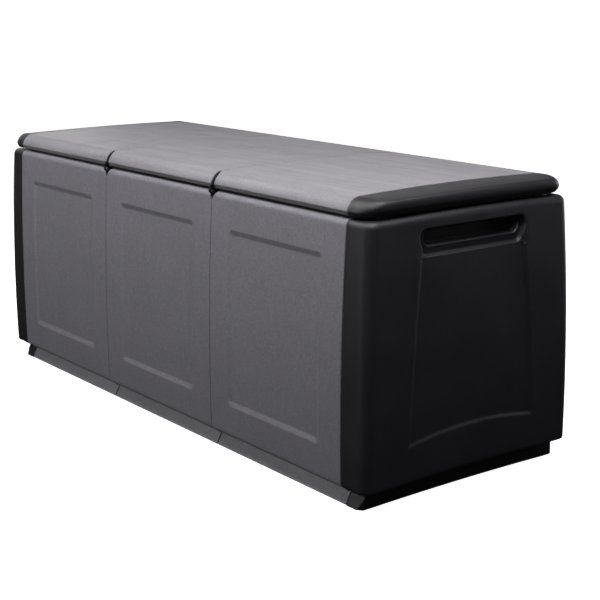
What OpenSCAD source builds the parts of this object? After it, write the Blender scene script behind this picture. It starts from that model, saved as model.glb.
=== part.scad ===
// Deck storage box built from moulded modules: a plinth and floor, walls, and a lid hinged along the back.
// Origin: centre of the footprint, on the ground. +X runs along the length, the front faces -Y, +Z is up.

/* [Overall size] */
// Length over the widest line of the two end walls
box_l = 1380; // [1300:10:1460]
// Depth over the widest line of the front and back walls
box_d = 516; // [500:2:530]
// Height of the lid's crown above the ground
box_h = 560; // [556:1:566]
// Length of one module of the walls, floor and lid
module_l = 415.4; // [400:0.2:420]

/* [Walls] */
// Height of the walls' lower edge
wall_bottom = 38; // [36:1:42]
// Height of the walls' upper edge
wall_top = 521; // [517:1:522]
// Thickness of the front and back walls
wall_t = 20; // [18:1:22]
// Thickness of the end walls, which hold the hand pockets
end_t = 34; // [32:1:38]
// Radius of the upright corners
corner_r = 22; // [18:1:30]
// Height at which the walls are widest
bulge_z = 120; // [100:5:160]
// How far the front and back walls lean in at the top
front_lean = 14.6; // [10:0.2:16]
// How far the end walls lean in at the top
end_lean = 7.6; // [4:0.2:12]
// Radius of the walls' outer upper edge
shoulder_r = 15; // [12:0.5:16]
// Radius of the walls' outer lower edge
foot_r = 4; // [2:0.5:5]
// Gap between two modules
seam_gap = 1; // [0.6:0.1:1.4]

/* [Wall recesses] */
// Width of the shallow recess on a wall module
recess_w = 286; // [240:2:320]
// Lower edge of that recess
recess_low = 100; // [80:2:140]
// Upper edge of that recess
recess_high = 450; // [400:2:470]
// Depth of the shallow recesses
recess_t = 3; // [1:0.5:4]
// Half width of the end recess at its lower edge
end_recess_low_w = 157; // [140:1:170]
// Half width of the end recess at its upper edge, under the hand pocket
end_recess_high_w = 128; // [110:1:132]

/* [Hand pockets] */
// Half width of the pocket's mouth at its upper edge
pocket_high_w = 135; // [120:1:145]
// Half width of the pocket's mouth at its lower edge
pocket_low_w = 117; // [105:1:118]
// Lower edge of the mouth
pocket_low = 446; // [440:1:450]
// Upper edge of the mouth
pocket_high = 494; // [488:1:498]
// Height of the ledge between the shallow and the deep part
pocket_ledge = 463; // [460:1:468]
// Depth of the shallow part, below the ledge
pocket_step_t = 9; // [6:1:12]
// Depth of the deep part, where the fingers go
pocket_t = 25; // [22:1:26]
// How far the deep part reaches up behind the mouth's upper edge
pocket_grip = 7; // [4:1:9]

/* [Plinth and floor] */
// Distance of the plinth's front edge from the middle, at the ground
plinth_y = 245.5; // [240:0.5:248]
// Distance of the plinth's upright back from the middle
plinth_back_y = 247; // [242:0.5:250]
// How far the plinth's front slopes in
plinth_slope = 14.5; // [8:0.5:18]
// Height of the sloped part
plinth_slope_h = 27; // [22:1:28]
// Half length of the plinth
plinth_x = 661.4; // [655:0.2:668]
// Thickness of the shelf that carries the walls
shelf_t = 7; // [5:1:8]
// How far the shelf stays behind the front wall's widest line
shelf_inset = 13; // [11:1:15]
// How far the shelf stays behind the end walls' widest line
shelf_end_inset = 24; // [20:1:27]
// How far the floor's deck stands up inside the walls
deck_step = 8; // [5:1:12]

/* [Lid] */
// Gap between the walls' upper edge and the lid
lid_gap = 3; // [2.5:0.5:3]
// Half depth of the lid at its edge
lid_y = 242.5; // [241:0.5:244]
// Radius of the lid's corners, seen from above
lid_corner_r = 40; // [34:1:46]
// Half length of the lid at its widest line
lid_x = 680.5; // [677:0.5:684]
// Height of the lid's sharp lower edge above its underside
lid_edge_h = 7.5; // [5:0.5:9]
// How far the underside is set back behind that edge
lid_undercut = 3.5; // [2:0.5:4]
// How far the rounded nose reaches back from the edge
lid_nose = 26.5; // [22:0.5:30]
// How far the lid's top is lower at the nose than at the crown
lid_crown = 4.2; // [2:0.2:6]
// How far the end ridge stays behind the lid's widest line
lid_ridge_inset = 9.5; // [7:0.5:14]
// How far the end ridge lies below the crown
lid_ridge_drop = 6; // [4:0.5:8]
// Depth of the recess in each lid module's underside
lid_recess_h = 10; // [6:1:12]
// Width of the solid rim round that recess
lid_rim = 42; // [36:1:50]

/* [Connectors and padlock eyes] */
// Width of a connector strip across the seam
strip_w = 8; // [6:0.5:10]
// Distance of a wall connector behind the wall's face
strip_out = 9.8; // [9.6:0.1:10.5]
// Thickness of a wall connector
strip_t = 4; // [3:0.5:5]
// Width of the lid's connector strip
lid_strip_w = 4; // [3:0.5:5]
// Distance of the lid's connector below the lid's surface
lid_strip_out = 2.5; // [2:0.5:4]
// Thickness of the lid's connector
lid_strip_t = 7; // [5:0.5:8]
// Radius of the hole for a padlock's shackle
eye_hole_r = 3.3; // [2.5:0.1:3.4]
// Outer radius of an eye
eye_r = 6; // [5.5:0.1:6]
// Thickness of an eye's plate
eye_t = 3; // [2:0.5:3]
// Half width of the notch that holds the eyes
notch_w = 6; // [5.5:0.5:8]

/* [Hinges] */
// Height of the hinge axis
hinge_z = 524; // [523:0.5:526]
// Distance of the hinge axis behind the middle
hinge_y = 249; // [248.5:0.5:251]
// Outer radius of the knuckles
knuckle_r = 6; // [5.5:0.5:6.5]
// Radius of the hinge pins
pin_r = 3; // [2:0.5:3.5]
// Running clearance of a pin in the lid's arm
pin_clearance = 0.05; // [0.02:0.01:0.1]
// Width of the lid's arm at the pin
arm_w = 22; // [16:1:30]
// Width of each cheek of the wall's bracket
cheek_w = 9; // [6:1:14]
// Side gap between an arm and a cheek
cheek_gap = 0.5; // [0.4:0.1:1]
// Height of a wall bracket below the axis
bracket_h = 66; // [50:1:80]

/* [Hidden] */
$fn = 64;

grey = [0.34, 0.33, 0.36];
black = [0.09, 0.09, 0.10];
steel = [0.70, 0.71, 0.73];

big = 2000;
eps = 0.01;
hull_fn = 32;
wall_steps = 12;
arc_step = 15;
half_l = box_l / 2;
half_d = box_d / 2;
grey_x = 1.5 * module_l;
shoulder_z = wall_top - shoulder_r;
lid_bottom = wall_top + lid_gap;
lid_edge_z = lid_bottom + lid_edge_h;
lid_nose_z = box_h - lid_crown;
deck_z = wall_bottom + deck_step;
overcut = 1;
mouth_r = 8;
mouth_top_r = 10;
pocket_step_in = 4;
recess_foot_rise = 6;
recess_top_gap = 8;
pad_y = 190;
pad_w = 30;
pad_t = 10;
pad_in = 4;
pad_play = 0.3;
eye_y = half_d - front_lean - 0.4;
eye_z = lid_bottom - eye_r + 0.3;
eye_side = 0.15;
eye_web = 2;
notch_low = eye_z - 17;
notch_corner_r = 8;
strip_play = 0.2;
strip_lip = 2;
notch_t = strip_out + strip_t + strip_play;
plinth_chamfer_x = 14;
plinth_chamfer_y = 12;
deck_play = 0.5;
nose_samples = 8;
cap_foot = 3;
cap_block = 20;
cap_wall = 12;
cap_rim = 32;
arm_play = 0.3;
screw_head_r = 4;
screw_head_t = 2;
screw_r = 2;
screw_hole_r = 2.3;
screw_l = 14;
bracket_screw_z = [hinge_z - 34, hinge_z - 54];
bracket_screw_x = 14;
bracket_root = 2;
bracket_shoulder = 18;
bracket_top = 12;
bracket_lip = 4;
arm_top = lid_bottom + 4;
arm_bottom = lid_bottom - 1.5;
arm_front = 192;
arm_screw_y = [arm_front + 8, arm_front + 22];
bracket_w = arm_w + 2 * (cheek_w + cheek_gap);
bracket_back = 3;

// How far a wall has leaned in at height z
function lean_at(z, lean) = lean * pow((z - bulge_z) / (wall_top - bulge_z), 2);

// The wall's outer edge as [height, set-back] pairs, with its rounded foot and shoulder
function edge_levels() = concat(
    [for (a = [-90 : 30 : 0]) [wall_bottom + foot_r * (1 + sin(a)), foot_r * (1 - cos(a))]],
    [for (i = [1 : wall_steps])
        [wall_bottom + foot_r + i * (shoulder_z - wall_bottom - foot_r) / wall_steps, 0]],
    [for (a = [arc_step : arc_step : 90])
        [shoulder_z + shoulder_r * sin(a), shoulder_r * (1 - cos(a))]]
);

// Heights between low and high, for a band that follows the wall
function band_levels(low, high) = [for (i = [0 : wall_steps]) low + i * (high - low) / wall_steps];

// Half depth of the front or back wall's face at height z
function face_y(z) = half_d - lean_at(z, front_lean);

// Half length of the end walls' faces at height z
function face_x(z) = half_l - lean_at(z, end_lean);

// Height of the lid's top at distance y from the middle
function crown_z(y) = box_h - lid_crown * pow(y / (lid_y - lid_nose), 2);

// The lid's section at a set-back from its surface, from the front edge over the crown to the back edge
function lid_outline(inset) = concat(
    [for (a = [0 : arc_step : 75]) [
        -(lid_y - lid_nose) - (lid_nose - inset) * cos(a),
        lid_edge_z + (lid_nose_z - lid_edge_z - inset) * sin(a)
    ]],
    [for (i = [-nose_samples : nose_samples])
        let (y = (lid_y - lid_nose) * i / nose_samples) [y, crown_z(y) - inset]],
    [for (a = [75 : -arc_step : 0]) [
        (lid_y - lid_nose) + (lid_nose - inset) * cos(a),
        lid_edge_z + (lid_nose_z - lid_edge_z - inset) * sin(a)
    ]]
);

// Extrudes a (y, z) section along x, from x_low
module along_x(x_low, length) {
    translate([x_low, 0, 0])
        rotate([90, 0, 90])
            linear_extrude(length)
                children();
}

// Extrudes an (x, z) section along y, over length to both sides of the middle
module along_y(length) {
    translate([0, length / 2, 0])
        rotate([90, 0, 0])
            linear_extrude(length)
                children();
}

// A bore or rod along x
module rod_x(x_low, length, y, z, r) {
    translate([x_low, y, z])
        rotate([0, 90, 0])
            cylinder(h = length, r = r);
}

// Puts a front-wall shape on the front (-1) or on the back (1)
module on_side(side) {
    if (side < 0) {
        children();
    } else {
        mirror([0, 1, 0]) children();
    }
}

// A band that follows the front wall's lean, between two set-backs and two heights
module front_band(x_low, length, out, inner, low, high) {
    levels = band_levels(low, high);
    along_x(x_low, length)
        polygon(concat(
            [for (z = levels) [-(face_y(z) - out), z]],
            [for (i = [wall_steps : -1 : 0]) [-(face_y(levels[i]) - inner), levels[i]]]
        ));
}

// Keeps what lies beyond the grey modules on the right
module outside_grey() {
    intersection() {
        union() {
            children();
        }
        translate([grey_x + seam_gap / 2, -big / 2, -eps])
            cube([big, big, big]);
    }
}

// ---------- walls ----------

// One rounded level of the whole wall ring, set back by [x, y] from the widest line
module wall_level(z, set_x, set_y, r) {
    half_x = face_x(z) - set_x;
    half_y = face_y(z) - set_y;
    translate([0, 0, z])
        linear_extrude(eps)
            for (sx = [-1, 1], sy = [-1, 1])
                translate([sx * (half_x - r), sy * (half_y - r)])
                    circle(r = r, $fn = hull_fn);
}

// The solid block inside the walls' outer faces
module wall_block() {
    hull()
        for (level = edge_levels())
            wall_level(level[0], level[1], level[1], corner_r);
}

// The box's cavity on the right, between the front and back walls and behind the end wall
module cavity() {
    levels = band_levels(wall_bottom - overcut, wall_top + overcut);
    intersection() {
        along_x(grey_x - overcut, big)
            polygon(concat(
                [for (z = levels) [-(face_y(z) - wall_t), z]],
                [for (i = [wall_steps : -1 : 0]) [face_y(levels[i]) - wall_t, levels[i]]]
            ));
        along_y(big)
            polygon(concat(
                [for (z = levels) [grey_x - overcut, z]],
                [for (i = [wall_steps : -1 : 0]) [face_x(levels[i]) - end_t, levels[i]]]
            ));
    }
}

// Outline of the hand pocket's mouth, in (y, z)
module pocket_outline(low, high, grow) {
    low_w = pocket_low_w + (pocket_high_w - pocket_low_w) * (low - pocket_low) / (pocket_high - pocket_low);
    hull()
        for (side = [-1, 1]) {
            translate([side * (low_w + grow - mouth_r), low + mouth_r])
                circle(r = mouth_r, $fn = hull_fn);
            translate([side * (pocket_high_w + grow - mouth_top_r), high - mouth_top_r])
                circle(r = mouth_top_r, $fn = hull_fn);
        }
}

// Hand pocket: a shallow step below the ledge and a deep finger space above it
module hand_pocket() {
    mouth_x = face_x(pocket_high);
    along_x(mouth_x - pocket_step_t, big)
        pocket_outline(pocket_low, pocket_high, 0);
    along_x(mouth_x - pocket_t, big)
        pocket_outline(pocket_ledge, pocket_high, -pocket_step_in);
    along_x(mouth_x - pocket_t, pocket_t - pocket_step_t)
        pocket_outline(pocket_ledge, pocket_high + pocket_grip, -pocket_step_in);
}

// Shallow recess of the end wall, widening towards the ground
module end_recess() {
    foot_z = recess_low + recess_foot_rise;
    top_z = pocket_low - recess_top_gap;
    levels = band_levels(foot_z - overcut, top_z + overcut);
    intersection() {
        along_x(grey_x, big)
            polygon([
                [-end_recess_low_w, foot_z], [end_recess_low_w, foot_z],
                [end_recess_high_w, top_z], [-end_recess_high_w, top_z]
            ]);
        along_y(big)
            polygon(concat(
                [for (z = levels) [face_x(z) - recess_t, z]],
                [for (i = [wall_steps : -1 : 0]) [half_l + overcut, levels[i]]]
            ));
    }
}

// End wall on the right; the lid rests on its small pads
module end_wall() {
    color(black) {
        difference() {
            outside_grey()
                wall_block();
            cavity();
            hand_pocket();
            end_recess();
        }
        for (side = [-1, 1])
            translate([half_l - end_lean - end_t + pad_in, side * pad_y - pad_w / 2, wall_top - eps])
                cube([pad_t, pad_w, lid_gap - pad_play]);
    }
}

// Opening that holds the padlock eyes at the top of a wall seam, with rounded corners above it
module seam_notch(x) {
    translate([x, -half_d, 0])
        rotate([-90, 0, 0])
            linear_extrude(half_d - face_y(wall_top) + notch_t)
                mirror([0, 1]) {
                    translate([0, notch_low + notch_w])
                        circle(r = notch_w);
                    translate([-notch_w, notch_low + notch_w])
                        square([2 * notch_w, big]);
                    polygon(concat(
                        [[-notch_w - notch_corner_r, wall_top + overcut]],
                        [for (a = [90 : -arc_step : 0]) [
                            -notch_w - notch_corner_r * (1 - cos(a)),
                            wall_top - notch_corner_r * (1 - sin(a))
                        ]],
                        [for (a = [0 : arc_step : 90]) [
                            notch_w + notch_corner_r * (1 - cos(a)),
                            wall_top - notch_corner_r * (1 - sin(a))
                        ]],
                        [[notch_w + notch_corner_r, wall_top + overcut]]
                    ));
                }
}

// Wall module number -1, 0 or 1 along the length, on the front or on the back
module wall_panel(index, side) {
    x_mid = index * module_l;
    levels = edge_levels();
    inner = band_levels(wall_bottom, wall_top);
    color(grey)
        on_side(side)
            difference() {
                along_x(x_mid - module_l / 2 + seam_gap / 2, module_l - seam_gap)
                    polygon(concat(
                        [for (level = levels) [-(face_y(level[0]) - level[1]), level[0]]],
                        [for (i = [wall_steps : -1 : 0]) [-(face_y(inner[i]) - wall_t), inner[i]]]
                    ));
                front_band(x_mid - recess_w / 2, recess_w, -wall_t, recess_t, recess_low, recess_high);
                for (seam = [-1, 1])
                    if (abs(index + seam) <= 1) {
                        seam_x = x_mid + seam * module_l / 2;
                        front_band(seam_x - strip_w / 2 - strip_play, strip_w + 2 * strip_play,
                            strip_out - strip_play, strip_out + strip_t + strip_play,
                            wall_bottom - overcut, wall_top + overcut);
                        if (side < 0)
                            seam_notch(seam_x);
                    }
            }
}

// Eye plate for a padlock, with its root given as a (y, z) polygon
module eye_plate(x_low, root) {
    difference() {
        union() {
            rod_x(x_low, eye_t, -eye_y, eye_z, eye_r);
            along_x(x_low, eye_t) polygon(root);
        }
        rod_x(x_low - overcut, eye_t + 2 * overcut, -eye_y, eye_z, eye_hole_r);
    }
}

// Strip that ties two wall modules together; on the front it ends in the box's padlock eye
module wall_connector(seam, side) {
    x = seam * module_l / 2;
    strip_y = face_y(eye_z) - strip_out;
    color(black)
        on_side(side) {
            front_band(x - strip_w / 2, strip_w, strip_out, strip_out + strip_t,
                wall_bottom, wall_top - strip_lip);
            if (side < 0)
                eye_plate(x + eye_side, [
                    [-eye_y - eye_r + eye_web / 4, eye_z - eye_web],
                    [-strip_y - eye_web, notch_low + eye_r], [-strip_y + overcut, notch_low + eye_r],
                    [-strip_y + overcut, eye_z], [-eye_y + eye_r / 2, eye_z + 2 * eye_web]
                ]);
        }
}

// ---------- plinth and floor ----------

// Section of the plinth and deck, in (y, z): the front slopes in under the shelf and the back is upright
module floor_section() {
    shelf_y = half_d - shelf_inset;
    inner_y = face_y(wall_bottom) - wall_t - deck_play;
    polygon([
        [-plinth_y, 0], [plinth_back_y, 0], [plinth_back_y, wall_bottom],
        [inner_y, wall_bottom], [inner_y, deck_z],
        [-inner_y, deck_z], [-inner_y, wall_bottom],
        [-shelf_y, wall_bottom], [-shelf_y, wall_bottom - shelf_t],
        [-plinth_y + plinth_slope, wall_bottom - shelf_t], [-plinth_y + plinth_slope, plinth_slope_h]
    ]);
}

// Floor module number -1, 0 or 1 along the length
module floor_panel(index) {
    color(grey)
        along_x((index - 0.5) * module_l + seam_gap / 2, module_l - seam_gap)
            floor_section();
}

// Plinth cap on the right: it closes the plinth and carries the end wall on its shelf
module plinth_cap() {
    shelf_x = half_l - shelf_end_inset;
    shelf_y = half_d - shelf_inset;
    deck_x = face_x(wall_bottom) - end_t - deck_play;
    deck_y = face_y(wall_bottom) - wall_t - deck_play;
    cut_x = plinth_x - plinth_chamfer_x;
    color(black)
        outside_grey() {
            intersection() {
                along_x(grey_x, plinth_x - grey_x)
                    polygon([
                        [-plinth_y, 0], [plinth_back_y, 0], [plinth_back_y, wall_bottom],
                        [-plinth_y + plinth_slope, wall_bottom], [-plinth_y + plinth_slope, plinth_slope_h]
                    ]);
                linear_extrude(wall_bottom)
                    polygon([
                        [grey_x, -plinth_y], [cut_x, -plinth_y], [plinth_x, -plinth_y + plinth_chamfer_y],
                        [plinth_x, plinth_back_y - plinth_chamfer_y], [cut_x, plinth_back_y],
                        [grey_x, plinth_back_y]
                    ]);
            }
            translate([grey_x, -shelf_y, wall_bottom - shelf_t])
                cube([shelf_x - grey_x, 2 * shelf_y, shelf_t]);
            translate([grey_x, -deck_y, wall_bottom - overcut])
                cube([deck_x - grey_x, 2 * deck_y, deck_step + overcut]);
        }
}

// ---------- lid ----------

// Room for a lid connector in the seam at x: a groove, open at the front nose and wider for the eye
module lid_seam_room(x) {
    half_w = lid_strip_w / 2 + strip_play;
    low = lid_bottom - overcut;
    deep = lid_strip_out + lid_strip_t + strip_play;
    along_x(x - half_w, 2 * half_w)
        difference() {
            polygon(concat([[-lid_y, low]], lid_outline(lid_strip_out - strip_play), [[lid_y, low]]));
            polygon(concat([[-lid_y + deep, low]], lid_outline(deep), [[lid_y - deep, low]]));
        }
    translate([x - half_w, -lid_y - overcut, low])
        cube([2 * half_w, lid_nose, box_h]);
    translate([x - eye_t - overcut, -lid_y - overcut, low])
        cube([2 * (eye_t + overcut), lid_nose / 2, lid_edge_h + overcut]);
}

// Lid module number -1, 0 or 1 along the length
module lid_panel(index) {
    x_mid = index * module_l;
    edge_y = lid_y - lid_undercut;
    hole_w = module_l - 2 * lid_rim;
    color(grey)
        difference() {
            along_x(x_mid - module_l / 2 + seam_gap / 2, module_l - seam_gap)
                polygon(concat([[-edge_y, lid_bottom]], lid_outline(0), [[edge_y, lid_bottom]]));
            translate([x_mid - hole_w / 2, -edge_y + lid_rim, lid_bottom - overcut])
                cube([hole_w, 2 * (edge_y - lid_rim), lid_recess_h + overcut]);
            translate([x_mid - arm_w / 2 - arm_play, arm_front - arm_play, lid_bottom - overcut])
                cube([arm_w + 2 * arm_play, big, arm_top - lid_bottom + overcut]);
            for (seam = [-1, 1])
                if (abs(index + seam) <= 1)
                    lid_seam_room(x_mid + seam * module_l / 2);
        }
}

// One rounded level of the lid's end, set back by [x, y] from its widest line
module lid_level(z, set_x, set_y, r) {
    translate([0, 0, z])
        linear_extrude(eps)
            for (side = [-1, 1]) {
                translate([lid_x - set_x - r, side * (lid_y - set_y - r)])
                    circle(r = r, $fn = hull_fn);
                translate([grey_x + seam_gap / 2, side * (lid_y - set_y) - (side + 1) / 2 * r])
                    square(r);
            }
}

// Lid end cap on the right: a sloped top strip up to the ridge and a rounded nose round three sides
module lid_end_cap() {
    ridge_z = box_h - lid_ridge_drop;
    nose_h = lid_nose_z - lid_edge_z;
    r = lid_corner_r;
    block_y = lid_y - lid_nose - cap_block;
    color(black)
        difference() {
            outside_grey() hull() {
                along_x(grey_x + seam_gap / 2, eps)
                    polygon(concat([[-lid_y + lid_undercut, lid_bottom]], lid_outline(0),
                        [[lid_y - lid_undercut, lid_bottom]]));
                lid_level(lid_bottom, lid_undercut + cap_foot, lid_undercut, r);
                lid_level(lid_edge_z, 0, 0, r);
                for (a = [20 : 20 : 80])
                    lid_level(lid_edge_z + nose_h * sin(a), lid_ridge_inset * (1 - cos(a)),
                        lid_nose * (1 - cos(a)), r);
                translate([lid_x - lid_ridge_inset - cap_block, -block_y, ridge_z - cap_block])
                    cube([cap_block, 2 * block_y, cap_block]);
            }
            translate([grey_x + cap_wall, -lid_y + lid_rim, lid_bottom - overcut])
                cube([lid_x - grey_x - cap_wall - cap_rim, 2 * (lid_y - lid_rim), lid_recess_h + overcut]);
        }
}

// Strip that ties two lid modules together and ends at the front in the lid's padlock eye
module lid_connector(seam) {
    x = seam * module_l / 2;
    in_y = lid_y - lid_strip_out - lid_strip_t;
    out_y = lid_y - lid_strip_out;
    root_z = lid_bottom + eye_r / 2;
    color(black) {
        along_x(x - lid_strip_w / 2, lid_strip_w)
            difference() {
                polygon(concat([[-out_y, lid_bottom]], lid_outline(lid_strip_out), [[out_y, lid_bottom]]));
                polygon(concat([[-in_y, lid_bottom - overcut]], lid_outline(lid_strip_out + lid_strip_t),
                    [[in_y, lid_bottom - overcut]]));
            }
        eye_plate(x - eye_side - eye_t, [
            [-eye_y - eye_r + eye_web / 4, eye_z + eye_web], [-out_y - overcut, root_z], [-in_y, root_z],
            [-in_y, lid_bottom], [-eye_y + eye_r - eye_web / 2, eye_z + eye_web]
        ]);
    }
}

// ---------- hinges ----------

// Bracket that is screwed to the back wall; its two cheeks hold the pin
module hinge_bracket(index) {
    x = index * module_l;
    low = hinge_z - bracket_h;
    shoulder = hinge_z - bracket_shoulder;
    top = hinge_z - bracket_top;
    plate_y = hinge_y + bracket_back;
    root_y = face_y(shoulder_z) - bracket_root;
    color(black)
        difference() {
            union() {
                along_x(x - bracket_w / 2, bracket_w)
                    polygon([
                        [face_y(low) - bracket_root, low], [plate_y, low], [plate_y, shoulder],
                        [hinge_y - bracket_lip, top], [root_y, top], [root_y, shoulder]
                    ]);
                for (side = [-1, 1])
                    translate([side * (arm_w / 2 + cheek_gap + cheek_w / 2), 0, 0]) {
                        rod_x(x - cheek_w / 2, cheek_w, hinge_y, hinge_z, knuckle_r);
                        along_x(x - cheek_w / 2, cheek_w)
                            polygon([
                                [hinge_y - knuckle_r, hinge_z], [hinge_y + knuckle_r, hinge_z],
                                [plate_y, shoulder], [hinge_y - knuckle_r, shoulder]
                            ]);
                    }
            }
            mirror([0, 1, 0])
                front_band(x - bracket_w, 2 * bracket_w, 0, wall_t, low - overcut, wall_top);
            rod_x(x - bracket_w, 2 * bracket_w, hinge_y, hinge_z, pin_r);
            for (sx = [-1, 1], z = bracket_screw_z)
                translate([x + sx * bracket_screw_x, half_d, z])
                    rotate([90, 0, 0])
                        cylinder(h = 2 * wall_t, r = screw_hole_r);
        }
}

// Steel pin of one hinge
module hinge_pin(index) {
    color(steel)
        rod_x(index * module_l - bracket_w / 2, bracket_w, hinge_y, hinge_z, pin_r);
}

// Arm that is screwed under the lid and turns on the pin
module hinge_arm(index) {
    x = index * module_l;
    color(black)
        difference() {
            union() {
                translate([x - arm_w / 2, arm_front, arm_bottom])
                    cube([arm_w, hinge_y - arm_front, arm_top - arm_bottom]);
                rod_x(x - arm_w / 2, arm_w, hinge_y, hinge_z, knuckle_r);
            }
            rod_x(x - arm_w, 2 * arm_w, hinge_y, hinge_z, pin_r + pin_clearance);
            for (y = arm_screw_y)
                translate([x, y, arm_bottom - overcut])
                    cylinder(h = screw_l, r = screw_hole_r);
        }
}

// A screw with its head at the origin, pointing towards +Z
module screw() {
    translate([0, 0, -screw_head_t])
        cylinder(h = screw_head_t, r = screw_head_r);
    translate([0, 0, -eps])
        cylinder(h = screw_l, r = screw_r);
}

// Screws of all the wall brackets
module bracket_screws() {
    color(steel)
        for (index = [-1 : 1], sx = [-1, 1], z = bracket_screw_z)
            translate([index * module_l + sx * bracket_screw_x, hinge_y + bracket_back, z])
                rotate([90, 0, 0])
                    screw();
}

// Screws of all the lid arms
module arm_screws() {
    color(steel)
        for (index = [-1 : 1], y = arm_screw_y)
            translate([index * module_l, y, arm_bottom])
                screw();
}

// Mirrors a right-hand piece to the left
module to_left() {
    mirror([1, 0, 0]) children();
}

floor_panel(-1);  // floor_left
floor_panel(0);  // floor_centre
floor_panel(1);  // floor_right
to_left() plinth_cap();  // plinth_cap_left
plinth_cap();  // plinth_cap_right
to_left() end_wall();  // end_wall_left
end_wall();  // end_wall_right
wall_panel(-1, -1);  // front_panel_left
wall_panel(0, -1);  // front_panel_centre
wall_panel(1, -1);  // front_panel_right
wall_panel(-1, 1);  // back_panel_left
wall_panel(0, 1);  // back_panel_centre
wall_panel(1, 1);  // back_panel_right
wall_connector(-1, -1);  // front_connector_left
wall_connector(1, -1);  // front_connector_right
wall_connector(-1, 1);  // back_connector_left
wall_connector(1, 1);  // back_connector_right
hinge_bracket(-1);  // hinge_bracket_left
hinge_bracket(0);  // hinge_bracket_centre
hinge_bracket(1);  // hinge_bracket_right
hinge_pin(-1);  // hinge_pin_left
hinge_pin(0);  // hinge_pin_centre
hinge_pin(1);  // hinge_pin_right
bracket_screws();
lid_panel(-1);  // lid_panel_left
lid_panel(0);  // lid_panel_centre
lid_panel(1);  // lid_panel_right
to_left() lid_end_cap();  // lid_end_cap_left
lid_end_cap();  // lid_end_cap_right
lid_connector(-1);  // lid_connector_left
lid_connector(1);  // lid_connector_right
hinge_arm(-1);  // hinge_arm_left
hinge_arm(0);  // hinge_arm_centre
hinge_arm(1);  // hinge_arm_right
arm_screws();
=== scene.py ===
"""Looks of the moulded deck storage box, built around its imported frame. Shapes are in millimetres."""
import math

import bmesh
import bpy
import numpy as np
from mathutils import Matrix, Vector


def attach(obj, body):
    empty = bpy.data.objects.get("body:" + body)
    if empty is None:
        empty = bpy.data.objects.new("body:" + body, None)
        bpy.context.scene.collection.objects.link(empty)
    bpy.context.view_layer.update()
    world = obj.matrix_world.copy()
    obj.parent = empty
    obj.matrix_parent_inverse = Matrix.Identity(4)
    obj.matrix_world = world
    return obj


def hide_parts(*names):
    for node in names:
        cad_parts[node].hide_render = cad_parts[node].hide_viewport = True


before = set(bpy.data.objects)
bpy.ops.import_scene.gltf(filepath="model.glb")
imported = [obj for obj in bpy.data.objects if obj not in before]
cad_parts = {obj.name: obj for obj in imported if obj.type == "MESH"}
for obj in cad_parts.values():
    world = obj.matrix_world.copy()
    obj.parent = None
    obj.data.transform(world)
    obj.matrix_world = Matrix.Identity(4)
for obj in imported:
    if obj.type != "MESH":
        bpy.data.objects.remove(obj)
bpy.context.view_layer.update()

MM = 0.001

# ---------- sizes in millimetres, most of them the frame's own ----------

# Where these differ from the frame: the seams are a little wider, the walls' rim is 2.5 lower, and the
# lid's strips are wider and nearer the surface, so that they show.

HALF_L = 690.0
HALF_D = 258.0
BOX_H = 560.0
MODULE_L = 415.4
GREY_X = 623.1
SEAM_GAP = 1.5
LID_SEAM_GAP = 3.0
SEAM_X = MODULE_L / 2
SEAM_EDGE_X = GREY_X + SEAM_GAP / 2
MODULE_HALF = (MODULE_L - SEAM_GAP) / 2
LID_MODULE_HALF = (MODULE_L - LID_SEAM_GAP) / 2

WALL_BOTTOM = 38.0
WALL_TOP = 521.0
WALL_T = 20.0
END_T = 34.0
CORNER_R = 22.0
INNER_CORNER_R = 12.0
BULGE_Z = 120.0
FRONT_LEAN = 14.6
END_LEAN = 7.6
SHOULDER_R = 12.5
SHOULDER_Z = 506.0
FOOT_R = 4.0
EDGE_R = 1.7

RECESS_HALF = 147.0
RECESS_LOW = 100.0
RECESS_HIGH = 452.0
RECESS_T = 3.0
RECESS_BEVEL = 12.0
RECESS_SIDE_BEVEL = 13.0

END_RECESS_LOW = 105.0
END_RECESS_HIGH = 470.0
END_RECESS_LOW_W = 157.5
END_RECESS_HIGH_W = 126.5
END_RECESS_BOW = 3.6
END_RECESS_ARCH = 15.0
END_RECESS_T = 3.0
END_RECESS_BEVEL = 8.0
END_COLUMN_SIDE = 139.0
END_COLUMN_HALF = HALF_D - CORNER_R
END_FOOT_ARCH = 4.0
END_ARCH_TOP = 330.0
END_CROWN_LOW = 470.0
END_CROWN_HALF = 200.0
END_TOP_CROWN = 2.0

POCKET_LOW = 446.0
POCKET_HIGH = 494.0
POCKET_LOW_W = 118.0
POCKET_HIGH_W = 136.0
POCKET_LEDGE = 463.0
POCKET_STEP_T = 9.0
POCKET_T = 24.0
POCKET_GRIP = 6.0
HOLE_LOW = 440.0
HOLE_HIGH = 501.0
HOLE_HALF = 166.0
POCKET_LIP = 3.0
POCKET_RIM_T = 3.5
POCKET_SIDE_T = 9

PAD_SET = 9
PAD_Y = 190.0
PAD_PLAY = 0.3
PAD_HALF_X = 5
PAD_HALF_Y = 15
PAD_R = 3.0

PLINTH_Y = 245.5
PLINTH_BACK_Y = 247.0
PLINTH_BACK_R = 10.0
PLINTH_SLOPE = 14.5
PLINTH_SLOPE_H = 27.0
PLINTH_X = 661.4
PLINTH_CUT_X = 10.0
PLINTH_CUT_Y = 8.5
PLINTH_CUT_H = 20.0
PLINTH_ARCH = 2.8
SHELF_T = 7.0
SHELF_INSET = 13.0
SHELF_END_INSET = 24.0
SHELF_CUT = (6.0, 6.0)
SHELF_BACK_R = 8.0
DECK_STEP = 8.0
DECK_PLAY = 0.5
FLOOR_SEAM = 1.0
FLOOR_SEAM_T = 5.0
STUD_Y = -170
STUD_Z = 14
STUD_COUNT = 24

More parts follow.
